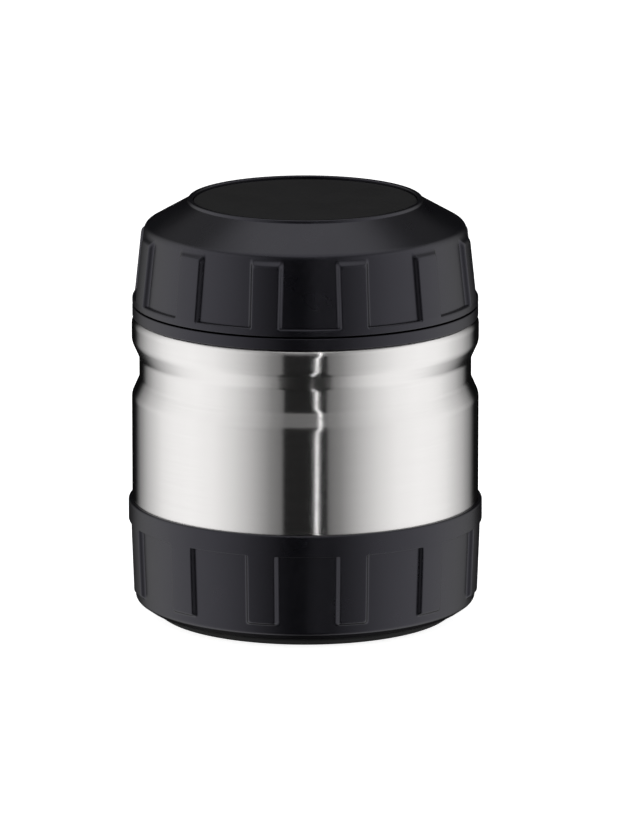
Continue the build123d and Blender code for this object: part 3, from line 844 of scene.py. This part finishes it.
def scalloped(outline, plate, grip_r):
    """Angles of the grip cap's columns, and its radii with finger scallops cut round the grip."""
    scallops, scallop_r, scallop_at, edge_blend = 18, 2.4, 35.5, 0.35
    side = np.concatenate((np.linspace(0, 4.0, 13), np.linspace(5.2, 10.0, 4)))
    side = np.radians(side)
    period = np.concatenate((-side[-2:0:-1], side))
    turns = np.arange(scallops) * 2 * math.pi / scallops
    angles = np.concatenate([period + turn for turn in turns])
    reach = scallop_r**2 - (scallop_at * np.sin(period)) ** 2
    cut = scallop_at * np.cos(period) - np.sqrt(np.maximum(reach, 0))
    cut = np.where(reach > 0, cut, 99.0)
    depth = np.maximum(grip_r - soft_min(cut, np.full_like(cut, grip_r), edge_blend), 0)
    depth = np.tile(depth, scallops)
    r = outline[:, 0]
    z = outline[:, 1]
    on_grip = (z > plate - 0.01) & (r < grip_r + 0.45) & (r > grip_r - 0.85)
    radii = np.repeat(r[:, None], len(angles), axis=1) - on_grip[:, None] * depth[None]
    return angles, radii


def make_cover():
    radius, bottom, top = box_of("stopper_cover")
    plate, plate_low, grip_r = 104.4, 103.2, 34.5
    bore, hub_r, hub_top, skirt_low, seam = 9.3, 10.8, 106.2, 100.6, 103.0
    corners = [
        (bore, seam, 0),
        (bore, bottom, 0.2),
        (hub_r, bottom, 0.2),
        (hub_r, plate_low, 0.5),
        (34.8, plate_low, 0),
        (34.8, skirt_low, 0),
        (36.2, skirt_low, 0),
        (36.2, plate_low, 0),
        (radius, plate_low, 0),
        (radius, plate, 0.4),
        (grip_r, plate, 0.4),
        (grip_r, top, 0.8),
        (30.0, top, 0.6),
        (28.8, plate, 0.8),
        (14.0, plate, 0.8),
        (13.0, hub_top, 0.6),
        (bore, hub_top, 0.3),
        (bore, seam, 0),
    ]
    outline = rounded(corners)[:-1]
    angles, radii = scalloped(outline, plate, grip_r)
    heights = np.repeat(outline[:, 1:], len(angles), axis=1)
    angles = np.repeat(angles[None], len(outline), axis=0)
    piece = wrapped("grip_cap", radii, heights, angles, True)
    dress(piece, "stopper", "stopper_cover", "stopper_plastic")


def make_gasket():
    radius, bottom, top = box_of("stopper_gasket")
    top -= SLIP
    bore = PLUG_R + 0.2
    corners = [(bore, bottom, 0.2), (radius, bottom, 0.2), (radius, top, 0.2), (bore, top, 0.2)]
    dress(turned("gasket", corners), "stopper_core", "stopper_gasket", "silicone")


def make_button():
    radius, bottom, top = box_of("valve_button")
    pin_bore, pin_r, pin_low, under, skirt_bore = 2.05, 3.4, 103.0, 105.8, 7.8
    corners = [
        (0, 105.0, 0),
        (pin_bore, 105.0, 0),
        (pin_bore, pin_low, 0),
        (pin_r, pin_low, 0),
        (pin_r, under, 0.4),
        (skirt_bore, under, 0.4),
        (skirt_bore, bottom, 0.2),
        (radius, bottom, 0.2),
        (radius, top - 0.2, 0.8),
        (0, top, 0),
    ]
    piece = turned("button", corners, closed=False, columns=192)
    dress(piece, "valve", "valve_button", "button_plastic")


def make_stem():
    _, bottom, top = box_of("valve_stem")
    rod_r, foot_r, foot_h = 2.0, 3.4, 0.8
    corners = [
        (0, bottom, 0),
        (foot_r, bottom, 0.4),
        (foot_r, bottom + foot_h, 0),
        (rod_r, bottom + foot_h, 0),
        (rod_r, top, 0.3),
        (0, top, 0),
    ]
    piece = turned("stem", corners, closed=False, columns=96)
    dress(piece, "valve", "valve_stem", "button_plastic")


def make_valve_seal():
    radius, bottom, top = box_of("valve_seal")
    bore, chamfer = 2.05, 0.5
    corners = [
        (bore, bottom, 0),
        (radius - chamfer, bottom, 0.15),
        (radius, bottom + chamfer, 0.15),
        (radius, top, 0.1),
        (bore, top, 0),
    ]
    dress(turned("valve_disc", corners, columns=128), "valve", "valve_seal", "silicone")


def make_spring():
    _, bottom, top = box_of("valve_spring")
    wire_r = 0.3
    piece = coil("spring", 3.0, wire_r, bottom + wire_r, top - wire_r, 5)
    dress(piece, "stopper", "valve_spring", "spring_steel")
    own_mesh(piece)


make_outer_shell()
make_inner_vessel()
make_collar()
make_base_cup()
make_foot()
make_cushion()
make_lid()
make_disc()
make_liner()
make_lid_seal()
make_plug()
make_plug_foam()
make_cover()
make_gasket()
make_button()
make_stem()
make_valve_seal()
make_spring()

# The pieces that no view shows keep their CAD shape.
for node, slot in (
    ("shell_base_plate", "vessel_steel"),
    ("vacuum_plug", "braze_metal"),
    ("getter_capsule", "vessel_steel"),
    ("heat_foil", "foil"),
    ("collar_seal", "silicone"),
):
    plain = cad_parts[node]
    plain.data.materials.clear()
    plain.data.materials.append(MATERIALS[slot])

# ----------------------------------------------------------------------- stage and light

# Metres from here on
TARGET = Vector((0.0, 0.0, 0.0604))
CAMERA_ELEVATION = math.radians(12.6)
CAMERA_DISTANCE = 2.6
LENS = 385.8
PHOTO_H = 826  # pixels, the longer side, which the camera's shift is a share of
SHIFT = (4.7, -3)  # pixels
FLOOR_R = 1.1
FLOOR_Z = -0.00003  # just under the foot
FLOOR_WHITE = 0.85  # what the camera sees of the floor without a shadow
DOME_R = 1.2
# Brightness of the upright panels by direction, as degrees from the camera's side
STUDIO = (
    (0.0, 0.017),
    (14.2, 0.017),
    (14.6, 0.20),
    (22.6, 0.31),
    (38.7, 0.75),
    (50.0, 1.01),
    (62.8, 1.23),
    (80.0, 1.33),
    (97.0, 1.29),
    (108.0, 1.16),
    (116.0, 0.95),
    (127.0, 0.69),
    (136.0, 0.42),
    (141.0, 0.30),
    (145.0, 0.15),
    (149.0, 0.03),
    (154.0, 0.005),
    (180.0, 0.005),
)
STUDIO_PEAK = 1.4
# Brightness of the other lights
SOFTBOX = 1.12  # soft light overhead
ROOM_GLOW = 0.21  # what it lights of the room below it
STRIP = 3.9  # narrow light a little right of the camera
RIGHT_DIM = 0.4  # share of the room's glow that the back of the right side lacks
# Angles in degrees
STRIP_EDGES = (7.85, 8.10, 8.75, 9.00)
STRIP_LEAN = 4.5
LOW_TURN = 10.5  # how much farther round the panels' light comes from low down
RIGHT_TURN = 2.5  # how much less far round it reaches on the right
RIGHT_FADE = (85.0, 112.0)
# Sines of the height, where each light fades in or out
LOW_FADE = (-0.90, -0.40)
STRIP_FADE = (-0.75, -0.6)
ROOM_FADE = (0.42, 0.54)
PANEL_FADE = (0.60, 0.70)
SOFTBOX_FADE = (0.788, 0.883)


def make_floor():
    columns = 96
    vertices = [(0, 0, FLOOR_Z)]
    faces = []
    for j in range(columns):
        angle = 2 * math.pi * j / columns
        vertices.append((FLOOR_R * math.cos(angle), FLOOR_R * math.sin(angle), FLOOR_Z))
        faces.append((0, 1 + j, 1 + (j + 1) % columns))
    floor = mesh_object("floor", vertices, faces)
    material = bpy.data.materials.new("floor")
    material.use_nodes = True
    tree = material.node_tree
    surface = tree.nodes["Principled BSDF"]
    surface.inputs["Base Color"].default_value = (0.9, 0.9, 0.9, 1)
    surface.inputs["Roughness"].default_value = 1.0
    surface.inputs["Specular IOR Level"].default_value = 0.0
    surface.inputs["Emission Color"].default_value = (1, 1, 1, 1)
    path = tree.nodes.new("ShaderNodeLightPath")
    strength = tree.nodes.new("ShaderNodeMath")
    strength.operation = "MULTIPLY"
    strength.inputs[1].default_value = FLOOR_WHITE
    tree.links.new(path.outputs["Is Camera Ray"], strength.inputs[0])
    tree.links.new(strength.outputs[0], surface.inputs["Emission Strength"])
    floor.data.materials.append(material)
    floor.visible_glossy = False


class Light:
    """Node tree of the light dome, with short calls for its sums."""

    def __init__(self, name):
        self.material = bpy.data.materials.new(name)
        self.material.use_nodes = True
        self.tree = self.material.node_tree
        self.tree.nodes.clear()
        self.new, self.link = self.tree.nodes.new, self.tree.links.new

    def maths(self, operation, a, b=None):
        node = self.new("ShaderNodeMath")
        node.operation = operation
        for socket, value in zip(node.inputs, (a, b)):
            if isinstance(value, (int, float)):
                socket.default_value = value
            elif value is not None:
                self.link(value, socket)
        return node.outputs[0]

    def smooth(self, value, start, end, low=0.0, high=1.0):
        """low up to start, high from end on, and a smooth change between them."""
        node = self.new("ShaderNodeMapRange")
        node.interpolation_type = "SMOOTHSTEP"
        names = ("From Min", "From Max", "To Min", "To Max")
        for name, given in zip(names, (start, end, low, high)):
            node.inputs[name].default_value = given
        self.link(value, node.inputs["Value"])
        return node.outputs["Result"]

    def direction(self):
        """Azimuth from the camera's side, to the right of it positive, and sine of the height."""
        unit = self.new("ShaderNodeVectorMath")
        unit.operation = "NORMALIZE"
        self.link(self.new("ShaderNodeTexCoord").outputs["Object"], unit.inputs[0])
        parts = self.new("ShaderNodeSeparateXYZ")
        self.link(unit.outputs["Vector"], parts.inputs[0])
        x, y, z = parts.outputs
        return self.maths("ARCTAN2", x, self.maths("MULTIPLY", y, -1.0)), z

    def sides(self, azimuth, z, right):
        """The upright panels to the left and right of the camera."""
        ramp = self.new("ShaderNodeValToRGB")
        elements = ramp.color_ramp.elements
        for i, (angle, level) in enumerate(STUDIO):
            element = elements[i] if i < 2 else elements.new(angle / 180)
            element.position = angle / 180
            element.color = (*[level / STUDIO_PEAK] * 3, 1)
        # Low down, the light comes from farther round, because the panels stand upright.
        low_turn = self.smooth(z, *LOW_FADE, math.radians(LOW_TURN), 0.0)
        off_front = self.maths("SUBTRACT", self.maths("ABSOLUTE", azimuth), low_turn)
        right_turn = self.maths("MULTIPLY", right, math.radians(RIGHT_TURN))
        off_front = self.maths("ADD", off_front, right_turn)
        self.link(self.maths("DIVIDE", off_front, math.pi), ramp.inputs["Fac"])
        level = self.maths("MULTIPLY", ramp.outputs["Color"], STUDIO_PEAK)
        return self.maths("MULTIPLY", level, self.smooth(z, *PANEL_FADE, 1.0, 0.5))

    def strip(self, azimuth, z):
        """The narrow light, which leans a little and ends low down."""
        lean = self.maths("MULTIPLY", z, math.radians(STRIP_LEAN))
        turned_az = self.maths("SUBTRACT", azimuth, lean)
        edges = [math.radians(edge) for edge in STRIP_EDGES]
        inside = self.maths(
            "MULTIPLY",
            self.smooth(turned_az, *edges[:2]),
            self.smooth(turned_az, *edges[2:], 1.0, 0.0),
        )
        return self.maths("MULTIPLY", inside, self.smooth(z, *STRIP_FADE, 0.0, STRIP))


def dome_material():
    s = Light("light_dome")
    azimuth, z = s.direction()
    # The studio is a little darker at the back of the right side.
    right = s.smooth(azimuth, *(math.radians(angle) for angle in RIGHT_FADE))
    sides = s.sides(azimuth, z, right)
    dimmed = s.maths("SUBTRACT", 1.0, s.maths("MULTIPLY", right, RIGHT_DIM))
    room = s.maths("MULTIPLY", s.smooth(z, *ROOM_FADE, 0.0, ROOM_GLOW), dimmed)
    blend = s.new("ShaderNodeMix")
    s.link(s.smooth(z, *SOFTBOX_FADE), blend.inputs["Factor"])
    s.link(s.maths("MAXIMUM", sides, room), blend.inputs["A"])
    blend.inputs["B"].default_value = SOFTBOX
    emission = s.new("ShaderNodeEmission")
    total = s.maths("ADD", blend.outputs["Result"], s.strip(azimuth, z))
    s.link(total, emission.inputs["Strength"])
    output = s.new("ShaderNodeOutputMaterial")
    s.link(emission.outputs[0], output.inputs["Surface"])
    return s.material


def make_dome():
    rows, columns = 48, 96
    vertices = [(0, 0, -DOME_R)]
    for i in range(1, rows):
        tilt = -math.pi / 2 + math.pi * i / rows
        for j in range(columns):
            angle = 2 * math.pi * j / columns
            x = DOME_R * math.cos(tilt) * math.cos(angle)
            y = DOME_R * math.cos(tilt) * math.sin(angle)
            vertices.append((x, y, DOME_R * math.sin(tilt)))
    vertices.append((0, 0, DOME_R))
    faces = []
    for j in range(columns):
        k = (j + 1) % columns
        faces.append((0, 1 + j, 1 + k))
        for i in range(rows - 2):
            low, high = 1 + i * columns, 1 + (i + 1) * columns
            faces.append((low + j, high + j, high + k, low + k))
        last = 1 + (rows - 2) * columns
        faces.append((last + j, len(vertices) - 1, last + k))
    dome = mesh_object("light_dome", vertices, faces)
    dome.location = TARGET
    dome.data.materials.append(dome_material())
    dome.visible_camera = False
    dome.visible_shadow = False


def make_world():
    """White behind the floor for the camera, and no light of its own."""
    world = bpy.data.worlds.new("studio")
    bpy.context.scene.world = world
    world.use_nodes = True
    tree = world.node_tree
    background = tree.nodes["Background"]
    background.inputs["Color"].default_value = (1, 1, 1, 1)
    path = tree.nodes.new("ShaderNodeLightPath")
    tree.links.new(path.outputs["Is Camera Ray"], background.inputs["Strength"])


def make_camera():
    data = bpy.data.cameras.new("camera")
    data.lens = LENS
    data.shift_x, data.shift_y = (pixels / PHOTO_H for pixels in SHIFT)
    camera = bpy.data.objects.new("camera", data)
    back = Vector((0, -math.cos(CAMERA_ELEVATION), math.sin(CAMERA_ELEVATION)))
    camera.location = TARGET + back * CAMERA_DISTANCE
    camera.rotation_euler = (math.pi / 2 - CAMERA_ELEVATION, 0, 0)
    bpy.context.scene.collection.objects.link(camera)
    bpy.context.scene.camera = camera


make_floor()
make_dome()
make_world()
make_camera()
bpy.context.scene.view_settings.view_transform = "Standard"
